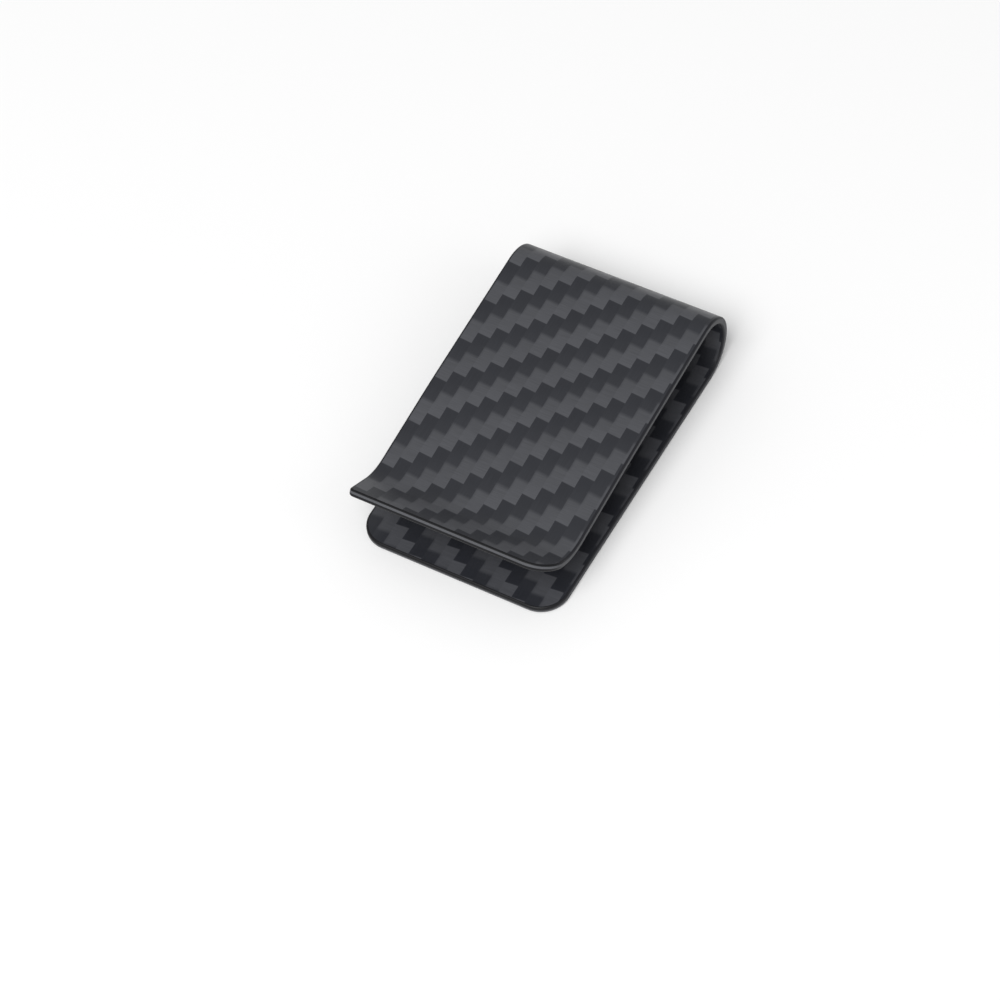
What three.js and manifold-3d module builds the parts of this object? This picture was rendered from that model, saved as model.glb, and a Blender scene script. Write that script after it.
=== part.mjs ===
// Carbon-fibre money clip: one strip of laminate moulded into a sprung U.
//
// Frame: millimetres, +Z up. +X runs from the closed bend to the open jaw and +Y across the
// width. The back leaf lies flat on z = 0, the origin is under the middle of the clip, and the
// front leaf is above it, held apart by the stack of notes and cards that it grips.
//
// The laminate is a stack of plies: a twill cloth on each face and unidirectional plies between.
// Each ply is one sheet in the real clip. It is divided here where the clip flexes, into back
// leaf, bend and front leaf, so that the front leaf can turn about the bend.

import * as THREE from 'three';
import { mergeVertices } from 'three/addons/utils/BufferGeometryUtils.js';
import Module from 'manifold-3d';

// ---------------------------------------------------------------- driving dimensions

const OVERALL_LENGTH = 62; // outside of the bend to the tip of the lip
const WIDTH = 38;
const BEND_HEIGHT = 13.8; // over the outside of the bend

const TWILL_PLY = 0.25; // cured thickness of each cloth ply
const UNI_PLY = 0.2; // cured thickness of each unidirectional ply
const UNI_PLY_COUNT = 4;

const FRONT_SLOPE = 5; // degrees that the front leaf falls towards the jaw
const FLAT_RUN = 25; // straight part of the front leaf next to the bend
const DIP_ANGLE = 2; // degrees that the leaf dips further, towards the grip line
const DIP_RADIUS = 150;
const LIP_ANGLE = 35; // degrees that the lip rises from the front leaf's plane
const LIP_RADIUS = 8.5; // of the hollow on top of the lip
const LIP_LENGTH = 5.5; // straight end of the lip

// Corner radii, seen square on to the sheet
const BACK_CORNER_RADIUS = 5; // both corners of the back leaf's free end
const LIP_THUMB_CORNER_RADIUS = 5; // the lip's corner on the +Y side
const LIP_FAR_CORNER_RADIUS = 1; // the lip's corner on the -Y side, which is nearly square

const QUARTER_BEND_STEPS = 15;
const DIP_STEPS = 2;
const LIP_STEPS = 7;
const CORNER_STEPS = 8;
const CUTTER_MARGIN = 2; // how far the corner cutters reach past the laminate

const LAMINATE = 2 * TWILL_PLY + UNI_PLY_COUNT * UNI_PLY;

// ---------------------------------------------------------------- materials

const clothMaterial = new THREE.MeshStandardMaterial({ color: 0x45464a, roughness: 0.5, metalness: 0 });
const coreMaterial = new THREE.MeshStandardMaterial({ color: 0x2b2c2e, roughness: 0.6, metalness: 0 });

// ---------------------------------------------------------------- side profile

// A pen that walks along the laminate's outer face in side view, with the inner face on its right.
// Each station keeps a point of the outer face and the direction straight into the laminate.
class ProfilePen {
  constructor(x, y, headingDegrees) {
    this.x = x;
    this.y = y;
    this.heading = THREE.MathUtils.degToRad(headingDegrees);
    this.stations = [];
    this.mark();
  }

  mark() {
    const inward = new THREE.Vector2(Math.sin(this.heading), -Math.cos(this.heading));
    this.stations.push({ point: new THREE.Vector2(this.x, this.y), inward, heading: this.heading });
  }

  straight(length) {
    this.x += length * Math.cos(this.heading);
    this.y += length * Math.sin(this.heading);
    this.mark();
  }

  // side is 1 to turn towards the inner face, and -1 to turn away from it
  turn(radius, degrees, steps, side) {
    const step = THREE.MathUtils.degToRad(degrees) / steps;
    for (let i = 0; i < steps; i += 1) {
      const centreX = this.x + side * radius * Math.sin(this.heading);
      const centreY = this.y - side * radius * Math.cos(this.heading);
      this.heading -= side * step;
      this.x = centreX - side * radius * Math.sin(this.heading);
      this.y = centreY + side * radius * Math.cos(this.heading);
      this.mark();
    }
  }
}

// The whole profile, from the back leaf's free end, round the bend, to the lip's tip.
// gripRun is the straight part between the dip and the lip.
function walkProfile(gripRun) {
  const bendRadius = BEND_HEIGHT / 2;
  const pen = new ProfilePen(OVERALL_LENGTH, 0, 180);
  pen.straight(OVERALL_LENGTH - bendRadius);
  const bendStart = pen.stations.length - 1;
  pen.turn(bendRadius, 90, QUARTER_BEND_STEPS, 1);
  pen.turn(bendRadius, 90, QUARTER_BEND_STEPS, 1);
  pen.turn(bendRadius, FRONT_SLOPE, 1, 1);
  const bendEnd = pen.stations.length - 1;
  pen.straight(FLAT_RUN);
  pen.turn(DIP_RADIUS, DIP_ANGLE, DIP_STEPS, 1);
  const gripHeading = pen.heading;
  pen.straight(gripRun);
  pen.turn(LIP_RADIUS, DIP_ANGLE + LIP_ANGLE, LIP_STEPS, -1);
  pen.straight(LIP_LENGTH);
  return { stations: pen.stations, bendStart, bendEnd, gripHeading };
}

// The grip run is whatever brings the lip's tip, its inner edge included, to the overall length.
function solveProfile() {
  const trial = walkProfile(0);
  const tip = trial.stations.at(-1);
  const reach = tip.point.x + LAMINATE * tip.inward.x;
  return walkProfile((OVERALL_LENGTH - reach) / Math.cos(trial.gripHeading));
}

const profile = solveProfile();
const stations = profile.stations;

function atDepth(station, depth) {
  return station.point.clone().addScaledVector(station.inward, depth);
}

// ---------------------------------------------------------------- plies

// One ply over a run of stations: its closed outline in side view, extruded across the width.
function plySheet(first, last, outerDepth, innerDepth) {
  const run = stations.slice(first, last + 1);
  const outline = [
    ...run.map((station) => atDepth(station, outerDepth)),
    ...run.map((station) => atDepth(station, innerDepth)).reverse(),
  ];
  return new THREE.ExtrudeGeometry(new THREE.Shape(outline), { depth: WIDTH, bevelEnabled: false });
}

// What rounding a corner takes away, at one side edge of a leaf's free end. The outline lies in
// the sheet, x along the leaf with the end at 0 and y across it, and is extruded through the sheet.
function cornerCutter(end, radius, farSide) {
  const across = (distance) => (farSide ? WIDTH - distance : distance);
  const reach = LAMINATE + CUTTER_MARGIN;
  const outline = [
    new THREE.Vector2(-radius, across(-CUTTER_MARGIN)),
    new THREE.Vector2(CUTTER_MARGIN, across(-CUTTER_MARGIN)),
    new THREE.Vector2(CUTTER_MARGIN, across(radius)),
  ];
  for (let i = 0; i <= CORNER_STEPS; i += 1) {
    const angle = (Math.PI / 2) * (i / CORNER_STEPS);
    const fromSide = radius * (1 - Math.sin(angle));
    outline.push(new THREE.Vector2(radius * (Math.cos(angle) - 1), across(fromSide)));
  }
  const shape = new THREE.Shape(outline);
  const geometry = new THREE.ExtrudeGeometry(shape, { depth: 2 * reach, bevelEnabled: false });
  geometry.translate(0, 0, -reach);
  const along = new THREE.Vector3(end.along.x, end.along.y, 0);
  const width = new THREE.Vector3(0, 0, 1);
  const through = new THREE.Vector3().crossVectors(along, width);
  const place = new THREE.Matrix4().makeBasis(along, width, through);
  place.setPosition(end.point.x, end.point.y, 0);
  return geometry.applyMatrix4(place);
}

const wasm = await Module();
wasm.setup();

function toSolid(geometry) {
  const bare = geometry.clone();
  bare.deleteAttribute('normal');
  bare.deleteAttribute('uv');
  const merged = mergeVertices(bare);
  return new wasm.Manifold(
    new wasm.Mesh({
      numProp: 3,
      vertProperties: new Float32Array(merged.attributes.position.array),
      triVerts: new Uint32Array(merged.index.array),
    }),
  );
}

function toGeometry(solid) {
  const mesh = solid.getMesh();
  const geometry = new THREE.BufferGeometry();
  geometry.setAttribute('position', new THREE.BufferAttribute(new Float32Array(mesh.vertProperties), 3));
  geometry.setIndex(new THREE.BufferAttribute(new Uint32Array(mesh.triVerts), 1));
  geometry.computeVertexNormals();
  return geometry;
}

function roundCorners(sheet, end) {
  const nearCutter = toSolid(cornerCutter(end, end.nearRadius, false));
  const farCutter = toSolid(cornerCutter(end, end.farRadius, true));
  return toGeometry(toSolid(sheet).subtract(nearCutter).subtract(farCutter));
}

// ---------------------------------------------------------------- assembly

// From the outside of the U inwards.
const plies = [
  { name: 'outer_twill_ply', thickness: TWILL_PLY, material: clothMaterial },
  ...Array.from({ length: UNI_PLY_COUNT }, (_, i) => ({
    name: `uni_ply_${i + 1}`,
    thickness: UNI_PLY,
    material: coreMaterial,
  })),
  { name: 'inner_twill_ply', thickness: TWILL_PLY, material: clothMaterial },
];

// A free end: its point on the outer face, the direction in which the sheet runs out there, and
// the radii of its corners on the near (+Y) and far (-Y) sides.
function freeEnd(station, runsOut, nearRadius, farRadius) {
  const along = new THREE.Vector2(Math.cos(station.heading), Math.sin(station.heading));
  return { point: station.point, along: along.multiplyScalar(runsOut), nearRadius, farRadius };
}

const zones = [
  {
    name: 'back',
    first: 0,
    last: profile.bendStart,
    end: freeEnd(stations[0], -1, BACK_CORNER_RADIUS, BACK_CORNER_RADIUS),
  },
  { name: 'bend', first: profile.bendStart, last: profile.bendEnd },
  {
    name: 'front',
    first: profile.bendEnd,
    last: stations.length - 1,
    end: freeEnd(stations.at(-1), 1, LIP_THUMB_CORNER_RADIUS, LIP_FAR_CORNER_RADIUS),
  },
];

function buildZone(zone) {
  const group = new THREE.Group();
  let depth = 0;
  for (const ply of plies) {
    const sheet = plySheet(zone.first, zone.last, depth, depth + ply.thickness);
    const geometry = zone.end ? roundCorners(sheet, zone.end) : sheet;
    const mesh = new THREE.Mesh(geometry, ply.material);
    mesh.name = `${zone.name}_${ply.name}`;
    group.add(mesh);
    depth += ply.thickness;
  }
  return group;
}

// The profile is drawn in x and y and extruded along z, so the clip is tipped up onto its back.
const clip = new THREE.Group();
clip.add(...zones.map(buildZone));
clip.rotation.x = Math.PI / 2;
clip.position.set(-OVERALL_LENGTH / 2, WIDTH / 2, 0);

const group = new THREE.Group();
group.add(clip);

export default group;
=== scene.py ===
"""Looks of a moulded carbon-fibre money clip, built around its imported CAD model.

Units are metres in the CAD frame: +X from the bend to the open jaw, +Y across the width, and the
back leaf on z = 0. The clip is one laminate, so each ply is one sheet that runs from the back
leaf's free end, round the bend, to the tip of the front leaf's lip.
"""

import math

import bpy
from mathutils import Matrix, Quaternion, Vector


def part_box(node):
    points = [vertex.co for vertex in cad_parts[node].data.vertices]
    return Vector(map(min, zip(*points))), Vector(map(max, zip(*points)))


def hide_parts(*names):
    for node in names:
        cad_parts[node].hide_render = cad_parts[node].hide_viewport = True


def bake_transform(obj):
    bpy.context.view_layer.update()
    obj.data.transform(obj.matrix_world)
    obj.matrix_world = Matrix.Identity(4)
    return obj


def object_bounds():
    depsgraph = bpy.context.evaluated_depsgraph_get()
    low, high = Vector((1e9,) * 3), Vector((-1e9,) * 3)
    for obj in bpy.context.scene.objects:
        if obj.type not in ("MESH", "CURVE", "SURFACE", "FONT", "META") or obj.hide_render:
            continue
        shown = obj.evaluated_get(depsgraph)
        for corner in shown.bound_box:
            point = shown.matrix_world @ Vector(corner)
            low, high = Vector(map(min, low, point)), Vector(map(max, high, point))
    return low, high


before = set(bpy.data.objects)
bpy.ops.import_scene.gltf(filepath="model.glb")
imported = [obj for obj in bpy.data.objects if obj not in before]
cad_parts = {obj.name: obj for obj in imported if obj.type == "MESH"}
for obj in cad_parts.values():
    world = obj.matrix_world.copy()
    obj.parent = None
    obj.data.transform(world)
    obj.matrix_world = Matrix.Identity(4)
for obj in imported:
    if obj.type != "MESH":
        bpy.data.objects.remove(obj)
cad_low, cad_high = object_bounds()

MM = 0.001

# ---------------------------------------------------------------- the laminate, from the frame

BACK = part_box("back_outer_twill_ply")
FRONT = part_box("front_outer_twill_ply")
BEND_RADIUS = cad_high.z / 2
BEND_CENTRE_X = BACK[0].x
HALF_WIDTH = cad_high.y
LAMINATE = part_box("back_inner_twill_ply")[1].z
FRONT_SLOPE = math.asin((FRONT[0].x - BEND_CENTRE_X) / BEND_RADIUS)

# The front leaf's profile, as the CAD model has it
FLAT_RUN = 25 * MM
DIP_ANGLE = math.radians(2)
DIP_RADIUS = 150 * MM
LIP_ANGLE = math.radians(35)
LIP_RADIUS = 8.5 * MM
LIP_LENGTH = 5.5 * MM

# Corner radii at the sheet's two ends, on the -Y and the +Y side
BACK_CORNERS = (5 * MM, 5 * MM)
LIP_CORNERS = (1 * MM, 5 * MM)

# Finishing: the sanded edge is rounded over on both faces
EDGE_ROUND = 0.4 * MM

# ---------------------------------------------------------------- side profile

# Distances between stations along the outer face
CURVE_STEP = BEND_RADIUS * math.radians(3)  # round the bend and the lip
FLAT_STEP = 2 * MM
GRIP_STEP = 1.5 * MM
TIP_STEP = 1 * MM

class Profile:
    """The laminate's outer face in side view, as straights and arcs that follow one another.

    It starts at the back leaf's free end and heads for the bend, with the laminate on its right.
    """

    def __init__(self, x, z, heading):
        self.x, self.z, self.heading = x, z, heading
        self.length = 0.0
        self.parts = []

    def straight(self, length, step):
        self._add(length, 0.0, step)

    def turn(self, radius, angle, step):
        """A positive angle turns towards the laminate's inner face."""
        self._add(abs(radius * angle), math.copysign(1 / radius, angle), step)

    def _add(self, length, curvature, step):
        self.parts.append((self.length, length, curvature, step, self.x, self.z, self.heading))
        self.x, self.z, self.heading = self._along(self.parts[-1], length)
        self.length += length

    @staticmethod
    def _along(part, distance):
        _, _, curvature, _, x, z, heading = part
        if curvature == 0:
            return x + distance * math.cos(heading), z + distance * math.sin(heading), heading
        turned = heading - distance * curvature
        x += (math.sin(heading) - math.sin(turned)) / curvature
        z += (math.cos(turned) - math.cos(heading)) / curvature
        return x, z, turned

    def at(self, s, depth):
        """The point at a distance along the outer face and a depth into the laminate."""
        part = next((p for p in self.parts if s <= p[0] + p[1]), self.parts[-1])
        x, z, heading = self._along(part, s - part[0])
        return x + depth * math.sin(heading), z - depth * math.cos(heading)

    def stations(self):
        """Distances along the profile, as close together as each part's step asks."""
        found = [0.0]
        for start, length, _, step, *_ in self.parts:
            count = max(1, math.ceil(length / step))
            found += [start + length * (i + 1) / count for i in range(count)]
        return found


def walk(grip_run):
    """The whole profile, with a given straight run between the dip and the lip."""
    profile = Profile(cad_high.x, cad_low.z, math.pi)
    profile.straight(cad_high.x - BEND_CENTRE_X, FLAT_STEP)
    profile.turn(BEND_RADIUS, math.pi + FRONT_SLOPE, CURVE_STEP)
    profile.straight(FLAT_RUN, FLAT_STEP)
    profile.turn(DIP_RADIUS, DIP_ANGLE, GRIP_STEP)
    profile.straight(grip_run, GRIP_STEP)
    profile.turn(LIP_RADIUS, -(DIP_ANGLE + LIP_ANGLE), CURVE_STEP)
    profile.straight(LIP_LENGTH, TIP_STEP)
    return profile


def full_profile():
    """The grip run brings the lip's inner corner to the CAD model's length."""
    trial = walk(0.0)
    reach = trial.at(trial.length, LAMINATE)[0]
    return walk((cad_high.x - reach) / math.cos(FRONT_SLOPE + DIP_ANGLE))


PROFILE = full_profile()

# ---------------------------------------------------------------- ply meshes

RINGS = 10  # steps round each rounded-over edge
CORNER_STEPS = 14
ROW_GAP = 0.4 * MM  # least distance from a round corner to the next row
SAME_ROW = 9  # decimal places of a metre at which two rows count as one
CLOTH_COLUMNS = 24
CORE_COLUMNS = 1
EDGE_SUPPORT = 0.015  # share of the half width between the outermost columns of the cloth
GLUED_INSET = EDGE_ROUND / 2  # a face whose outline is drawn in less than this lies on another ply


def edge_inset(depth):
    """How far the rounded-over edge lies inside the laminate's outline at a depth."""
    from_face = min(depth, LAMINATE - depth)
    if from_face >= EDGE_ROUND:
        return 0.0
    return EDGE_ROUND - math.sqrt(EDGE_ROUND**2 - (EDGE_ROUND - from_face) ** 2)


def ring_depths(top, bottom):
    """Depths of the rings down a ply's edge, closer together where it is rounded over."""
    rounded = [EDGE_ROUND * (1 - math.cos(math.pi / 2 * i / RINGS)) for i in range(1, RINGS + 1)]
    inside = [d for d in rounded + [LAMINATE - d for d in rounded] if top < d < bottom]
    return sorted([top, bottom, *inside])


def corner_steps(radius):
    """Distances from a sheet's end that divide a round corner into equal turns."""
    return [radius * (1 - math.cos(math.pi / 2 * i / CORNER_STEPS)) for i in range(CORNER_STEPS + 1)]


def half_width(from_end, radius, inset):
    """How far the outline, drawn in by an inset, reaches to one side at a distance from an end."""
    reach = HALF_WIDTH - inset
    if from_end >= radius:
        return reach
    drawn_in = max(radius - inset, 0.0)
    return reach - drawn_in + math.sqrt(max(drawn_in**2 - (radius - from_end) ** 2, 0.0))


def end_rows(corners, inset):
    """(distance from the end, reach to -Y, reach to +Y) of each row at one end of the sheet."""
    largest = max(corners)
    places = sorted({round(step, SAME_ROW) for radius in corners for step in corner_steps(radius)})
    rows = []
    for place in places:
        from_end = inset + place * (1 - inset / largest)
        rows.append((from_end, *(half_width(from_end, radius, inset) for radius in corners)))
    return rows


def outline_rows(inset):
    """(distance along the profile, reach to -Y, reach to +Y) of each row of the sheet."""
    back = end_rows(BACK_CORNERS, inset)
    lip = [(PROFILE.length - d, left, right) for d, left, right in end_rows(LIP_CORNERS, inset)]
    first, last = max(BACK_CORNERS) + ROW_GAP, PROFILE.length - max(LIP_CORNERS) - ROW_GAP
    stations = [s for s in PROFILE.stations() if first < s < last]
    middle = [(s, HALF_WIDTH - inset, HALF_WIDTH - inset) for s in stations]
    return back + middle + lip[::-1]


def column_shares(columns):
    """Where the columns cross a row, from -1 to 1. Cloth has a support column beside each edge."""
    if columns == CORE_COLUMNS:
        return [-1.0, 1.0]
    inner = 1 - EDGE_SUPPORT
    return [-1.0] + [inner * (2 * i / columns - 1) for i in range(columns + 1)] + [1.0]


def border_cells(last_row, last_column):
    """The (row, column) cells round the border of the sheet's grid, in order."""
    cells = [(0, c) for c in range(last_column)]
    cells += [(r, last_column) for r in range(last_row)]
    cells += [(last_row, c) for c in range(last_column, 0, -1)]
    cells += [(r, 0) for r in range(last_row, 0, -1)]
    return cells


def layer_points(depth, cells, shares):
    """Each cell's point at a depth, and its place along and across the sheet."""
    outline = outline_rows(edge_inset(depth))
    points, places = [], []
    for r, c in cells:
        s, left, right = outline[r]
        x, z = PROFILE.at(s, depth)
        y = (right - left) / 2 + shares[c] * (right + left) / 2
        points.append((x, y, z))
        places.append((s, y))
    return points, places


def flat_faces(top_layer, bottom_layer, last_row, last_column):
    faces = []
    for r in range(last_row):
        for c in range(last_column):
            corners = (r, c), (r + 1, c), (r + 1, c + 1), (r, c + 1)
            faces.append([top_layer[k] for k in corners])
            faces.append([bottom_layer[k] for k in reversed(corners)])
    return faces


def edge_faces(layers, ring):
    faces = []
    for upper, lower in zip(layers, layers[1:]):
        for a, b in ring:
            faces.append([upper[a], upper[b], lower[b], lower[a]])
    return faces


def mark_sharp(mesh, corners):
    """Keeps the shading from running over the edges between the given pairs of corners."""
    sharp = mesh.attributes.new("sharp_edge", "BOOLEAN", "EDGE")
    for edge in mesh.edges:
        sharp.data[edge.index].value = frozenset(edge.vertices) in corners


def map_sheet(mesh, places):
    """The UV map that the materials read: each corner's place on the sheet, in mm."""
    uv = mesh.uv_layers.new(name="sheet_mm")
    for corner in mesh.loops:
        s, y = places[corner.vertex_index]
        uv.data[corner.index].uv = (s / MM, y / MM)


def ply_mesh(name, top, bottom, columns, materials):
    """One closed sheet between two depths, with its edge rounded over with the laminate's.

    Faces take the first material and the edge takes the last.
    """
    shares = column_shares(columns)
    last_row, last_column = len(outline_rows(0.0)) - 1, len(shares) - 1
    grid = [(r, c) for r in range(last_row + 1) for c in range(last_column + 1)]
    border = border_cells(last_row, last_column)
    ring = list(zip(border, border[1:] + border[:1]))

    points, places, layers = [], [], []
    for depth in ring_depths(top, bottom):
        cells = grid if depth in (top, bottom) else border
        layers.append({cell: len(points) + i for i, cell in enumerate(cells)})
        more_points, more_places = layer_points(depth, cells, shares)
        points += more_points
        places += more_places
    flats = flat_faces(layers[0], layers[-1], last_row, last_column)

    mesh = bpy.data.meshes.new(name)
    mesh.from_pydata(points, [], flats + edge_faces(layers, ring))
    ends = (top, layers[0]), (bottom, layers[-1])
    glued = [layer for depth, layer in ends if edge_inset(depth) < GLUED_INSET]
    mark_sharp(mesh, {frozenset((layer[a], layer[b])) for layer in glued for a, b in ring})
    for material in materials:
        mesh.materials.append(material)
    for polygon in mesh.polygons:
        polygon.material_index = 0 if polygon.index < len(flats) else len(materials) - 1
        polygon.use_smooth = True
    map_sheet(mesh, places)
    mesh.validate()
    piece = bpy.data.objects.new(name, mesh)
    bpy.context.scene.collection.objects.link(piece)
    return piece


# ---------------------------------------------------------------- shader helpers


class Graph:
    """A material's node tree, written as sums on sockets and numbers."""

    def __init__(self, name):
        self.material = bpy.data.materials.new(name)
        self.material.use_nodes = True
        self.tree = self.material.node_tree
        self.shader = self.tree.nodes["Principled BSDF"]

    def put(self, socket, value):
        if isinstance(value, bpy.types.NodeSocket):
            self.tree.links.new(value, socket)
        else:
            socket.default_value = value

    def math(self, operation, *values):
        node = self.tree.nodes.new("ShaderNodeMath")
        node.operation = operation
        for socket, value in zip(node.inputs, values):
            self.put(socket, value)
        return node.outputs[0]

    def add(self, a, b):
        return self.math("ADD", a, b)

    def sub(self, a, b):
        return self.math("SUBTRACT", a, b)

    def mul(self, a, b):
        return self.math("MULTIPLY", a, b)

    def flip(self, a):
        """1 - a"""
        return self.sub(1.0, a)

    def rise(self, low, high, value):
        """A smooth step from 0 at low to 1 at high."""
        node = self.tree.nodes.new("ShaderNodeMapRange")
        node.interpolation_type = "SMOOTHSTEP"
        for name, number in (("Value", value), ("From Min", low), ("From Max", high)):
            self.put(node.inputs[name], number)
        return node.outputs["Result"]

    def mix(self, share, a, b):
        """a where share is 0 and b where it is 1, for numbers."""
        return self.add(a, self.mul(share, self.sub(b, a)))

    def colour(self, share, a, b):
        """The same for colours."""
        node = self.tree.nodes.new("ShaderNodeMix")
        node.data_type = "RGBA"
        self.put(node.inputs["Factor"], share)
        node.inputs[6].default_value = (*a, 1)
        node.inputs[7].default_value = (*b, 1)
        return node.outputs[2]

    def shade(self, colour, factor):
        """A colour made lighter or darker by a factor."""
        node = self.tree.nodes.new("ShaderNodeVectorMath")
        node.operation = "SCALE"
        self.put(node.inputs[0], colour)
        self.put(node.inputs["Scale"], factor)
        return node.outputs[0]

    def vector(self, x, y, z=0.0):
        node = self.tree.nodes.new("ShaderNodeCombineXYZ")
        for socket, value in zip(node.inputs, (x, y, z)):
            self.put(socket, value)
        return node.outputs[0]

    def sheet(self):
        """Distance along the sheet from the back leaf's free end, and across it, in mm."""
        node = self.tree.nodes.new("ShaderNodeUVMap")
        node.uv_map = "sheet_mm"
        split = self.tree.nodes.new("ShaderNodeSeparateXYZ")
        self.tree.links.new(node.outputs[0], split.inputs[0])
        return split.outputs[0], split.outputs[1]

    def object_point(self):
        node = self.tree.nodes.new("ShaderNodeTexCoord")
        return node.outputs["Object"]

    def noise(self, where, scale, detail):
        node = self.tree.nodes.new("ShaderNodeTexNoise")
        self.put(node.inputs["Vector"], where)
        node.inputs["Scale"].default_value = scale
        node.inputs["Detail"].default_value = detail
        return node.outputs[0]

    def chance(self, where):
        """A fixed random number from 0 to 1 for each whole-number place."""
        node = self.tree.nodes.new("ShaderNodeTexWhiteNoise")
        node.noise_dimensions = "3D"
        self.put(node.inputs["Vector"], where)
        return node.outputs["Value"]

    def bump(self, height, distance):
        node = self.tree.nodes.new("ShaderNodeBump")
        node.inputs["Distance"].default_value = distance
        self.put(node.inputs["Height"], height)
        return node.outputs[0]


# ---------------------------------------------------------------- twill cloth

TOW_ALONG = 2.153  # mm from one crosswise tow to the next, along the sheet
TOW_ACROSS = 2.46  # mm from one lengthwise tow to the next, across the sheet
WEAVE_START = (88.83, 8.33)  # mm along and across to a corner of the weave's grid
TWILL_REPEAT = 4.0  # tows to one repeat of the weave
FLOAT_LENGTH = 2  # tows that a tow passes over
SOFT = 0.21  # share of a tow over which a float's rear edge fades
CRISP = 0.045  # the same at its front edge
TOOTH_TILT = 0.09  # how far a float's ends lean, as a share of a tow
DRAWN = 1.1  # mm that the cloth is drawn towards the lip as it crosses the grip line
DRAWN_FROM, DRAWN_TO = 104.5, 120.5  # mm along the sheet

# Both tows are the same black fibre: the crosswise colour is painted lighter with the sheen its
# filaments throw towards the camera, and the lengthwise colour painted darker where they throw less
LENGTHWISE_TOW_SHEEN = (0.0165, 0.0178, 0.0230)
CROSSWISE_TOW_SHEEN = (0.0605, 0.0622, 0.0700)
LENGTHWISE_DRAW, CROSSWISE_DRAW = 1.0, 2.0  # keep the two kinds' random tones apart

# Factors on a tow's colour, each from the first to the second
TONE_RANGE = (0.96, 1.04)  # from float to float
STREAK_RANGE = (0.7, 1.3)  # from filament to filament
# Painted light and shade on the crosswise floats: lighter at their lip's end and painted darker
# towards the bend, as their slope turns from the light
CROSSWISE_SLOPE_SHADE = (1.08, 0.9)  # towards the bend, over the two crosswise tows between floats
# Painted highlight: the lip's end of each lengthwise float is painted towards the crosswise colour,
# where the tow slopes up into the light
SLOPE_HIGHLIGHT = 0.12  # share of the crosswise colour at the lip's end of a lengthwise float
SLOPE_HIGHLIGHT_REACH = 1.6  # tows over which that share falls to nothing

STREAK_ALONG, STREAK_ACROSS = 0.25, 9.0  # filament streaks to a mm, along a tow and across it
STREAK_DETAIL = 3.0
CROWN_FLATNESS = 0.35  # power that flattens a tow's round back
CROWN_SHARE, STREAK_SHARE = 0.7, 0.3  # of the cloth's relief
CLOTH_RELIEF = 0.012 * MM
LENGTHWISE_ROUGHNESS, CROSSWISE_ROUGHNESS = 0.56, 0.5

COAT_PEEL_SCALE, COAT_PEEL_DETAIL = 900.0, 2.0
COAT_PEEL_SHARE, COAT_CROWN_SHARE = 0.6, 0.5  # of the coat's relief
COAT_RELIEF = 0.004 * MM
RESIN_IOR = 1.5


def lengthwise_float(g, i, column_offset, across, j_floor):
    """How much of the lengthwise tow in one column shows, and the place along its float.

    i counts crosswise tows towards the bend. A float runs from 0 to FLOAT_LENGTH. Over its first
    tow no other float lies beside it on +Y, so it fades there too.
    """
    column = g.add(j_floor, column_offset)
    from_start = g.sub(g.sub(i, column), 1.0)
    place = g.sub(g.math("FLOORED_MODULO", from_start, TWILL_REPEAT), 1.0)
    front = g.rise(FLOAT_LENGTH - CRISP, FLOAT_LENGTH + CRISP, place)
    shows = g.mul(g.rise(-SOFT, SOFT, place), g.flip(front))
    beyond_side = g.rise(1 - SOFT, 1 + SOFT, across)
    open_side = g.mul(beyond_side, g.flip(g.rise(1 - SOFT, 1 + SOFT, place)))
    return g.mul(shows, g.flip(open_side)), place


def float_tone(g, i, i_floor, j_floor, lengthwise):
    """A random number from 0 to 1 for each float."""
    float_number = g.mul(g.sub(g.sub(i, j_floor), FLOAT_LENGTH), 1 / TWILL_REPEAT)
    own = g.chance(g.vector(j_floor, g.math("FLOOR", float_number), LENGTHWISE_DRAW))
    row_number = g.mul(g.sub(i_floor, j_floor), 1 / TWILL_REPEAT)
    crosswise = g.chance(g.vector(i_floor, g.math("FLOOR", row_number), CROSSWISE_DRAW))
    return g.mix(lengthwise, crosswise, own)


def filament_streaks(g, along, across, lengthwise):
    """Fine streaks along whichever tow is on top."""
    own = g.vector(g.mul(along, STREAK_ALONG), g.mul(across, STREAK_ACROSS))
    crosswise = g.vector(g.mul(along, STREAK_ACROSS), g.mul(across, STREAK_ALONG))
    streaks = [g.noise(where, 1.0, STREAK_DETAIL) for where in (crosswise, own)]
    return g.mix(lengthwise, *streaks)


def cloth_colour_with_painted_light(g, lengthwise, place, tone, streak):
    """Both kinds of float are painted lighter along the sheet towards the lip and darker towards the
    bend: painted light from each tow's slope, over the tows' painted sheen.
    """
    painted_slope_highlight = g.mul(g.flip(g.rise(0.0, SLOPE_HIGHLIGHT_REACH, place)), SLOPE_HIGHLIGHT)
    cloth = g.colour(g.mul(lengthwise, g.flip(painted_slope_highlight)), CROSSWISE_TOW_SHEEN, LENGTHWISE_TOW_SHEEN)
    past_float = g.math("FLOORED_MODULO", g.sub(place, FLOAT_LENGTH), TWILL_REPEAT)
    painted_slope_shade = g.mix(g.mul(past_float, 1 / FLOAT_LENGTH), *CROSSWISE_SLOPE_SHADE)
    factor = g.mul(g.mix(tone, *TONE_RANGE), g.mix(streak, *STREAK_RANGE))
    return g.shade(cloth, g.mul(factor, g.mix(lengthwise, painted_slope_shade, 1.0)))


def tow_crown(g, lengthwise, i_part, j_part):
    """The round back of whichever tow is on top: 0 at its sides and 1 along its middle."""
    crosswise, own = (g.mul(part, g.flip(part)) for part in (i_part, j_part))
    return g.mul(g.mix(lengthwise, crosswise, own), 4.0)


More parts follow.
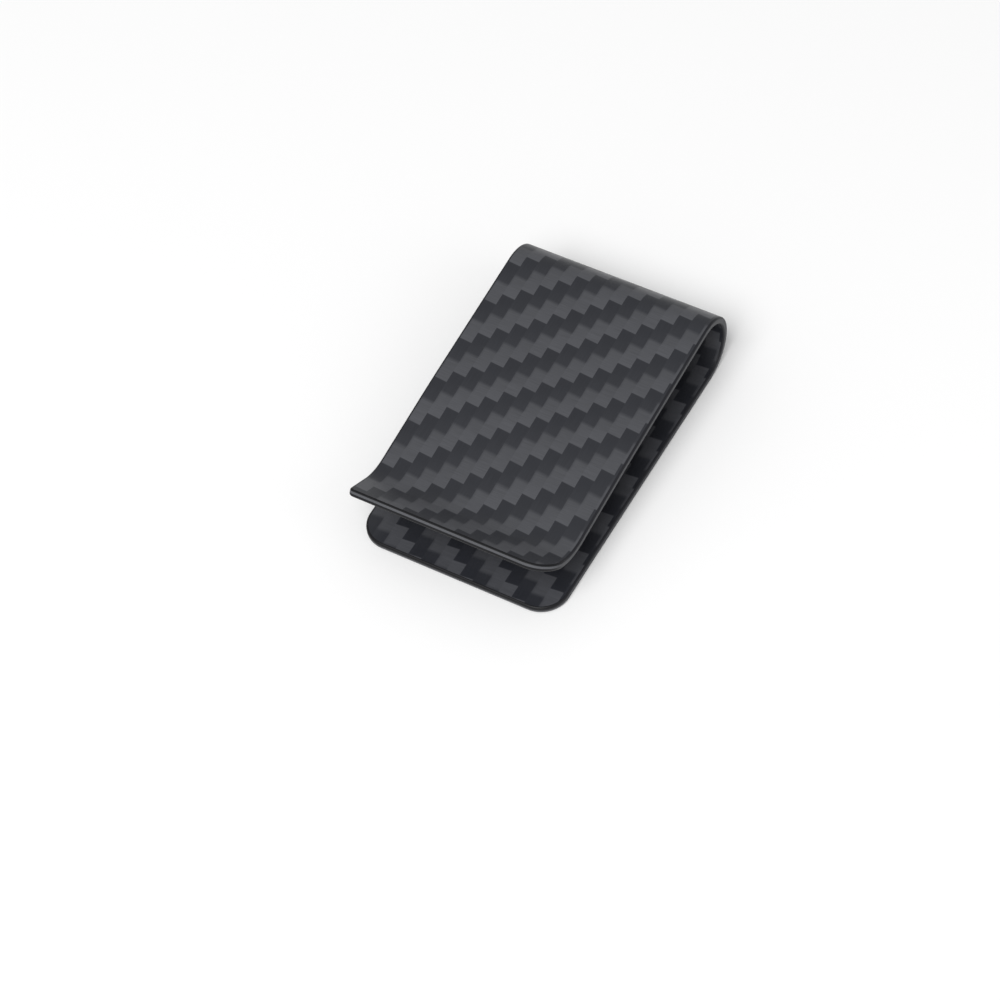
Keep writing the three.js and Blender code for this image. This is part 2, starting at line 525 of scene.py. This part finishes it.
def twill_cloth(name):
    """2x2 twill of flat carbon tows under a thin satin coat."""
    g = Graph(name)
    along, across = g.sheet()
    j = g.mul(g.sub(across, WEAVE_START[1]), 1 / TOW_ACROSS)
    j_floor, j_part = g.math("FLOOR", j), g.math("FRACT", j)
    lean = g.mul(g.sub(j_part, 0.5), TOOTH_TILT)
    drawn = g.mul(g.rise(DRAWN_FROM, DRAWN_TO, along), DRAWN)
    i = g.add(g.mul(g.add(g.sub(WEAVE_START[0], along), drawn), 1 / TOW_ALONG), lean)
    i_floor, i_part = g.math("FLOOR", i), g.math("FRACT", i)

    own, place = lengthwise_float(g, i, 0.0, j_part, j_floor)
    from_side, _ = lengthwise_float(g, i, -1.0, g.add(j_part, 1.0), j_floor)
    lengthwise = g.math("MAXIMUM", own, from_side)

    tone = float_tone(g, i, i_floor, j_floor, lengthwise)
    streak = filament_streaks(g, along, across, lengthwise)
    crown = tow_crown(g, lengthwise, i_part, j_part)
    # The base colour holds the tows' random tones and streaks, and also their painted sheen and
    # painted slope light
    g.put(g.shader.inputs["Base Color"], cloth_colour_with_painted_light(g, lengthwise, place, tone, streak))

    flat_crown = g.mul(g.math("POWER", crown, CROWN_FLATNESS), CROWN_SHARE)
    height = g.add(flat_crown, g.mul(streak, STREAK_SHARE))
    g.put(g.shader.inputs["Normal"], g.bump(height, CLOTH_RELIEF))
    roughness = g.mix(lengthwise, CROSSWISE_ROUGHNESS, LENGTHWISE_ROUGHNESS)
    g.put(g.shader.inputs["Roughness"], roughness)

    peel = g.noise(g.object_point(), COAT_PEEL_SCALE, COAT_PEEL_DETAIL)
    coat_height = g.add(g.mul(peel, COAT_PEEL_SHARE), g.mul(crown, COAT_CROWN_SHARE))
    g.put(g.shader.inputs["Coat Normal"], g.bump(coat_height, COAT_RELIEF))
    g.shader.inputs["Coat Weight"].default_value = 0.4
    g.shader.inputs["Coat Roughness"].default_value = 0.3
    g.shader.inputs["Coat IOR"].default_value = RESIN_IOR
    g.shader.inputs["IOR"].default_value = RESIN_IOR
    g.shader.inputs["Specular IOR Level"].default_value = 0.2
    return g.material


# ---------------------------------------------------------------- cut edges


ENDS_REACH = (1.5, 6.0)  # mm from the sheet's ends over which its edge turns from end to side
GRAIN_SCALE, GRAIN_DETAIL = 5000.0, 2.0
GRAIN_TONE = (0.8, 1.2)  # factors on the edge's colour
GRAIN_ROUGHNESS = (0.45, 0.6)
GRAIN_RELIEF = 0.003 * MM


def cut_edge(name, at_ends, at_sides):
    """A sanded ply edge under a thin seal coat, with one colour at the ends and one at the sides."""
    g = Graph(name)
    along, _ = g.sheet()
    near, far = ENDS_REACH
    length = PROFILE.length / MM
    side = g.mul(g.rise(near, far, along), g.flip(g.rise(length - far, length - near, along)))
    grain = g.noise(g.object_point(), GRAIN_SCALE, GRAIN_DETAIL)
    base = g.colour(side, at_ends, at_sides)
    g.put(g.shader.inputs["Base Color"], g.shade(base, g.mix(grain, *GRAIN_TONE)))
    g.put(g.shader.inputs["Roughness"], g.mix(grain, *GRAIN_ROUGHNESS))
    g.put(g.shader.inputs["Normal"], g.bump(grain, GRAIN_RELIEF))
    g.shader.inputs["Specular IOR Level"].default_value = 0.15
    g.shader.inputs["Coat Weight"].default_value = 0.2
    g.shader.inputs["Coat Roughness"].default_value = 0.35
    g.shader.inputs["Coat IOR"].default_value = RESIN_IOR
    return g.material


# ---------------------------------------------------------------- the clip

outer_cloth = twill_cloth("outer_cloth")
inner_cloth = twill_cloth("inner_cloth")

# The cut plies: cloth is dark at the ends, and so are the core plies but for the two under the outer
# cloth, whose ends are painted with a highlight: the light line where the rounded cut ends catch the
# light
CORE_SIDES = (0.034, 0.0352, 0.0405)
cloth_edge = cut_edge("cloth_edge", (0.004, 0.0042, 0.0055), (0.012, 0.0126, 0.0158))
# Painted highlight: this end colour stands in for the light that the cut ends catch
core_edge_painted_highlight = cut_edge("core_edge_painted_highlight", (0.085, 0.087, 0.095), CORE_SIDES)
dark_core_edge = cut_edge("dark_core_edge", (0.006, 0.0062, 0.0078), CORE_SIDES)

CORE_PLY_COUNT = 4
# The core plies whose cut ends carry the painted highlight
HIGHLIGHT_PLIES = (1, 2)


def add_ply(ply, columns, materials):
    """One ply over its whole length, standing for its back, bend and front nodes."""
    low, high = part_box(f"back_{ply}")
    piece = ply_mesh(f"{ply}_sheet", low.z, high.z, columns, materials)
    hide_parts(*[f"{zone}_{ply}" for zone in ("back", "bend", "front")])
    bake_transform(piece)


add_ply("outer_twill_ply", CLOTH_COLUMNS, [outer_cloth, cloth_edge])
for number in range(1, CORE_PLY_COUNT + 1):
    edge = core_edge_painted_highlight if number in HIGHLIGHT_PLIES else dark_core_edge
    add_ply(f"uni_ply_{number}", CORE_COLUMNS, [edge])
add_ply("inner_twill_ply", CLOTH_COLUMNS, [inner_cloth, cloth_edge])

# ---------------------------------------------------------------- floor, light and camera

FLOOR_SIZE = 12
FLOOR_GAP = 0.02 * MM  # keeps the floor's plane from meeting the clip's
FLOOR_COLOUR = (0.9, 0.9, 0.9, 1)

WORLD_STRENGTH = 0.5
KEY_PLACE, KEY_SIZE, KEY_WATTS = (0.9, 0.05, 1.3), 1.1, 20
SIDE_PLACE, SIDE_SIZE, SIDE_WATTS = (0.05, 1.1, 0.7), 0.7, 1.2


def add_floor():
    bpy.ops.mesh.primitive_plane_add(size=FLOOR_SIZE, location=(0, 0, cad_low.z - FLOOR_GAP))
    floor = bpy.context.object
    floor.name = "floor"
    g = Graph("pale_floor")
    g.shader.inputs["Base Color"].default_value = FLOOR_COLOUR
    g.shader.inputs["Roughness"].default_value = 0.9
    g.shader.inputs["Specular IOR Level"].default_value = 0.1
    floor.data.materials.append(g.material)


def add_area_light(name, place, size, watts):
    """A round softbox that faces the clip."""
    light = bpy.data.lights.new(name, "AREA")
    light.shape = "DISK"
    light.size = size
    light.energy = watts
    holder = bpy.data.objects.new(name, light)
    holder.location = place
    holder.rotation_euler = (-Vector(place)).to_track_quat("-Z", "Y").to_euler()
    bpy.context.scene.collection.objects.link(holder)


def add_studio():
    scene = bpy.context.scene
    world = bpy.data.worlds.new("studio")
    world.use_nodes = True
    world.node_tree.nodes["Background"].inputs["Color"].default_value = (1, 1, 1, 1)
    world.node_tree.nodes["Background"].inputs["Strength"].default_value = WORLD_STRENGTH
    scene.world = world
    add_area_light("key_softbox", KEY_PLACE, KEY_SIZE, KEY_WATTS)
    add_area_light("side_softbox", SIDE_PLACE, SIDE_SIZE, SIDE_WATTS)
    scene.view_settings.view_transform = "Standard"
    scene.view_settings.look = "None"


# A long lens in front of the jaw, to the right and well above, leaning a little
CAMERA_AZIMUTH = math.radians(36.3)  # from +X towards +Y
CAMERA_ELEVATION = math.radians(53.8)
CAMERA_ROLL = math.radians(8.4)
CAMERA_DISTANCE = 592 * MM
CAMERA_AIM = Vector((18.86 * MM, 2.8 * MM, 9 * MM))
LENS = 129.6  # mm
NEAREST, FARTHEST = 0.01, 20  # that the camera sees


def add_camera():
    data = bpy.data.cameras.new("camera")
    data.lens = LENS
    data.clip_start = NEAREST
    data.clip_end = FARTHEST
    camera = bpy.data.objects.new("camera", data)
    level = math.cos(CAMERA_ELEVATION)
    back = Vector((
        level * math.cos(CAMERA_AZIMUTH),
        level * math.sin(CAMERA_AZIMUTH),
        math.sin(CAMERA_ELEVATION),
    ))
    camera.location = CAMERA_AIM + back * CAMERA_DISTANCE
    turn = (-back).to_track_quat("-Z", "Y")
    camera.rotation_mode = "QUATERNION"
    camera.rotation_quaternion = turn @ Quaternion((0, 0, 1), -CAMERA_ROLL)
    bpy.context.scene.collection.objects.link(camera)
    bpy.context.scene.camera = camera


add_floor()
add_studio()
add_camera()
